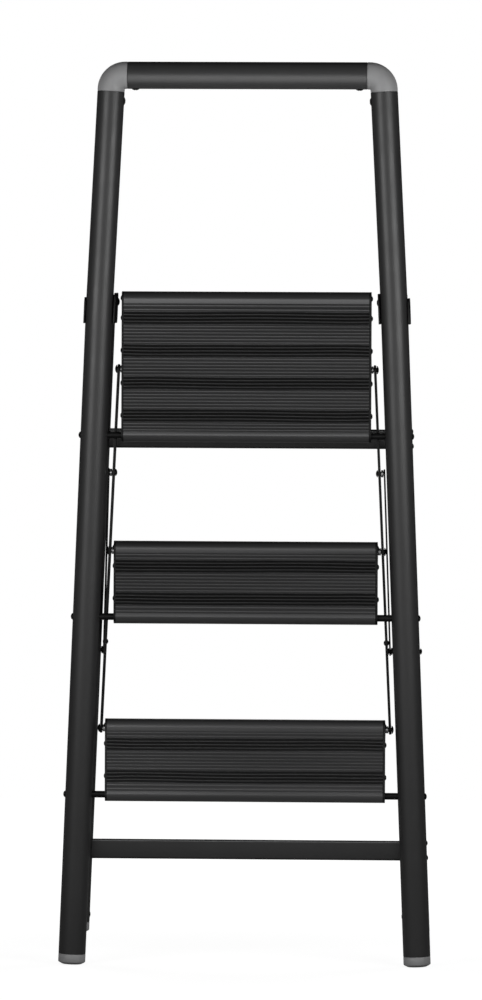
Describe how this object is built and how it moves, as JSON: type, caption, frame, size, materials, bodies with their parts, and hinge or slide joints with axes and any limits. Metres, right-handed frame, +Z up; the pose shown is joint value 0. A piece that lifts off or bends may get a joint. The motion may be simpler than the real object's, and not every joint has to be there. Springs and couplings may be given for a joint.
{
  "type": "folding step ladder",
  "caption": "Black aluminium folding household ladder with ribbed treads, a high grab rail and grey corners and feet, folded flat.",
  "frame": {"origin": "middle of the folded ladder's footprint, on the floor under the front feet", "axes": "+Z up along the folded ladder, +X to the right as seen from the front, +Y to the back, towards the rear legs"},
  "size_m": [0.4972, 0.0762, 1.2031],
  "materials": {
    "black_paint": "aluminium tube in fine satin black powder coat",
    "black_anodised": "extruded aluminium in satin black, with a sheen along the ribs",
    "black_steel": "steel rods, straps, brackets, end plates and rivets in black",
    "rubber": "matt black anti-slip rubber with ridges",
    "grey_plastic": "moulded mid-grey plastic, satin",
    "zinc": "bright zinc-plated steel spacer"
  },
  "bodies": {
    "front_frame": {"corner_elbow_left": "grey_plastic", "corner_elbow_right": "grey_plastic", "front_foot_left": "grey_plastic", "front_foot_right": "grey_plastic", "front_leg_left": "black_paint", "front_leg_right": "black_paint", "grab_rail": "black_paint", "hinge_bracket_left": "black_steel", "hinge_bracket_right": "black_steel", "hinge_pin_left": "black_steel", "hinge_pin_right": "black_steel", "lower_pivot_rod": "black_steel", "middle_pivot_rod": "black_steel", "platform_pivot_rod": "black_steel"},
    "rear_frame": {"rear_crossbar_lower": "black_paint", "rear_crossbar_upper": "black_paint", "rear_foot_left": "grey_plastic", "rear_foot_right": "grey_plastic", "rear_leg_left": "black_paint", "rear_leg_right": "black_paint", "spreader_foot_pin_left": "black_steel", "spreader_foot_pin_right": "black_steel"},
    "platform": {"platform_deck": "black_anodised", "platform_end_plate_left": "black_steel", "platform_end_plate_right": "black_steel", "platform_grip_strip_1": "rubber", "platform_grip_strip_2": "rubber", "platform_grip_strip_3": "rubber", "platform_grip_strip_4": "rubber", "platform_link_pin_left": "black_steel", "platform_link_pin_right": "black_steel", "platform_link_spacer_left": "zinc", "platform_link_spacer_right": "zinc"},
    "middle_step": {"middle_step_deck": "black_anodised", "middle_step_end_plate_left": "black_steel", "middle_step_end_plate_right": "black_steel", "middle_step_grip_strip_1": "rubber", "middle_step_grip_strip_2": "rubber", "middle_step_link_pin_left": "black_steel", "middle_step_link_pin_right": "black_steel", "middle_step_link_spacer_left": "zinc", "middle_step_link_spacer_right": "zinc"},
    "lower_step": {"lower_step_deck": "black_anodised", "lower_step_end_plate_left": "black_steel", "lower_step_end_plate_right": "black_steel", "lower_step_grip_strip_1": "rubber", "lower_step_grip_strip_2": "rubber", "lower_step_link_pin_left": "black_steel", "lower_step_link_pin_right": "black_steel", "lower_step_link_spacer_left": "zinc", "lower_step_link_spacer_right": "zinc"},
    "link_bars": {"link_bar_left": "black_steel", "link_bar_right": "black_steel", "spreader_top_pin_left": "black_steel", "spreader_top_pin_right": "black_steel", "spreader_top_spacer_left": "zinc", "spreader_top_spacer_right": "zinc"},
    "spreader_links": {"spreader_link_left": "black_steel", "spreader_link_right": "black_steel"}
  },
  "joints": [
    {"name": "fold", "type": "hinge", "parent": "front_frame", "child": "rear_frame", "pos_m": [0, 0.02, 0.8838], "axis": [1, 0, 0], "range_deg": [0, 35.73]},
    {"name": "platform_tilt", "type": "hinge", "parent": "front_frame", "child": "platform", "pos_m": [0, -0.02, 0.7066], "axis": [-1, 0, 0], "range_deg": [0, 69.6]},
    {"name": "middle_step_tilt", "type": "hinge", "parent": "front_frame", "child": "middle_step", "pos_m": [0, -0.02, 0.4646], "axis": [-1, 0, 0], "range_deg": [0, 69.6]},
    {"name": "lower_step_tilt", "type": "hinge", "parent": "front_frame", "child": "lower_step", "pos_m": [0, -0.02, 0.2274], "axis": [-1, 0, 0], "range_deg": [0, 69.6]},
    {"name": "link_bar_pivot", "type": "hinge", "parent": "platform", "child": "link_bars", "pos_m": [0, -0.008, 0.7945], "axis": [1, 0, 0], "range_deg": [0, 69.6]},
    {"name": "spreader_pivot", "type": "hinge", "parent": "rear_frame", "child": "spreader_links", "pos_m": [0, 0.02, 0.4184], "axis": [1, 0, 0], "range_deg": [0, 27.6]}
  ],
  "couplings": [
    {"joint": "platform_tilt", "follows": "fold", "ratio": 1.9459},
    {"joint": "middle_step_tilt", "follows": "fold", "ratio": 1.9459},
    {"joint": "lower_step_tilt", "follows": "fold", "ratio": 1.9459},
    {"joint": "link_bar_pivot", "follows": "fold", "ratio": 1.9459},
    {"joint": "spreader_pivot", "follows": "fold", "ratio": 0.77069}
  ]
}
